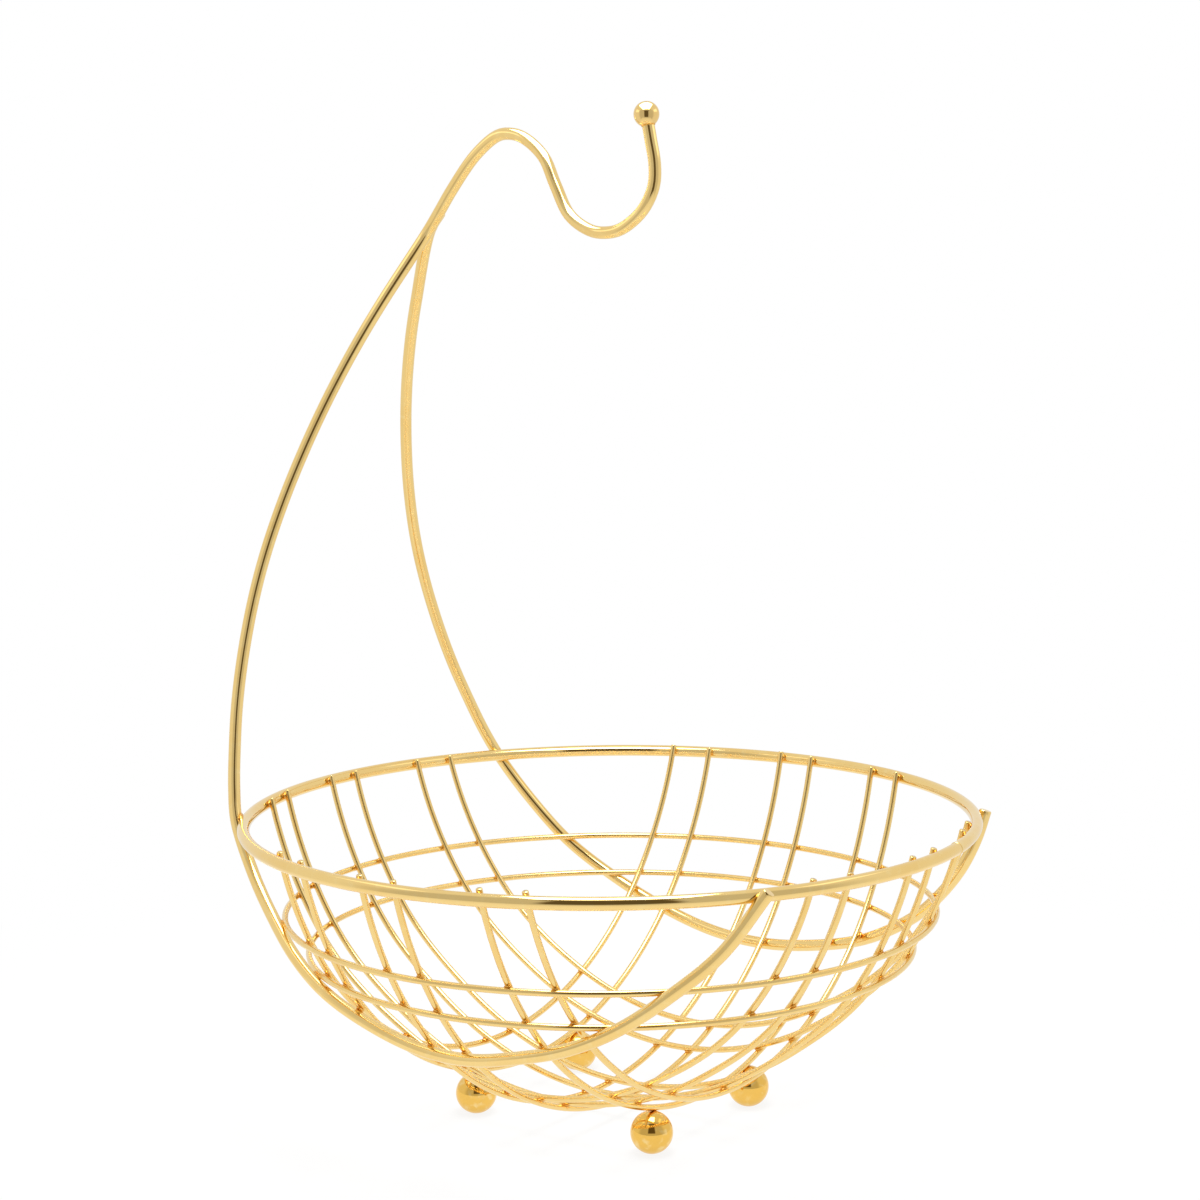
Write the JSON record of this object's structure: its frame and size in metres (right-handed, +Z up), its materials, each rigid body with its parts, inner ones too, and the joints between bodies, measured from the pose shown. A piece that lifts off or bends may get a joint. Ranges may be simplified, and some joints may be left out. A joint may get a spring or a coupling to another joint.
{
  "type": "fruit basket with banana hanger",
  "caption": "Round welded wire fruit bowl on ball feet, with two heavy wires that hug the bowl, rise behind it and join into a hook for hanging bananas.",
  "frame": {"origin": "on the surface that the basket stands on, straight below the middle of the bowl", "axes": "+Z up, +X the way that the hook overhangs the bowl, the left arm on the -Y side"},
  "size_m": [0.2998, 0.2998, 0.4059],
  "materials": {
    "gold_heavy_wire": "polished gold plating on heavy steel wire",
    "gold_fine_wire": "polished gold plating on fine steel wire",
    "gold_balls": "mirror polished gold plating on steel balls"
  },
  "bodies": {
    "root": {"rim_hoop": "gold_heavy_wire", "upper_hoop": "gold_fine_wire", "lower_hoop": "gold_fine_wire", "long_rib_1": "gold_fine_wire", "long_rib_2": "gold_fine_wire", "long_rib_3": "gold_fine_wire", "long_rib_4": "gold_fine_wire", "long_rib_5": "gold_fine_wire", "long_rib_6": "gold_fine_wire", "cross_rib_1": "gold_fine_wire", "cross_rib_2": "gold_fine_wire", "cross_rib_3": "gold_fine_wire", "cross_rib_4": "gold_fine_wire", "cross_rib_5": "gold_fine_wire", "cross_rib_6": "gold_fine_wire", "hanger_wire": "gold_heavy_wire", "hanger_branch": "gold_heavy_wire", "hook_ball": "gold_balls", "foot_ball_front_left": "gold_balls", "foot_ball_front_right": "gold_balls", "foot_ball_back_left": "gold_balls", "foot_ball_back_right": "gold_balls"}
  },
  "joints": []
}
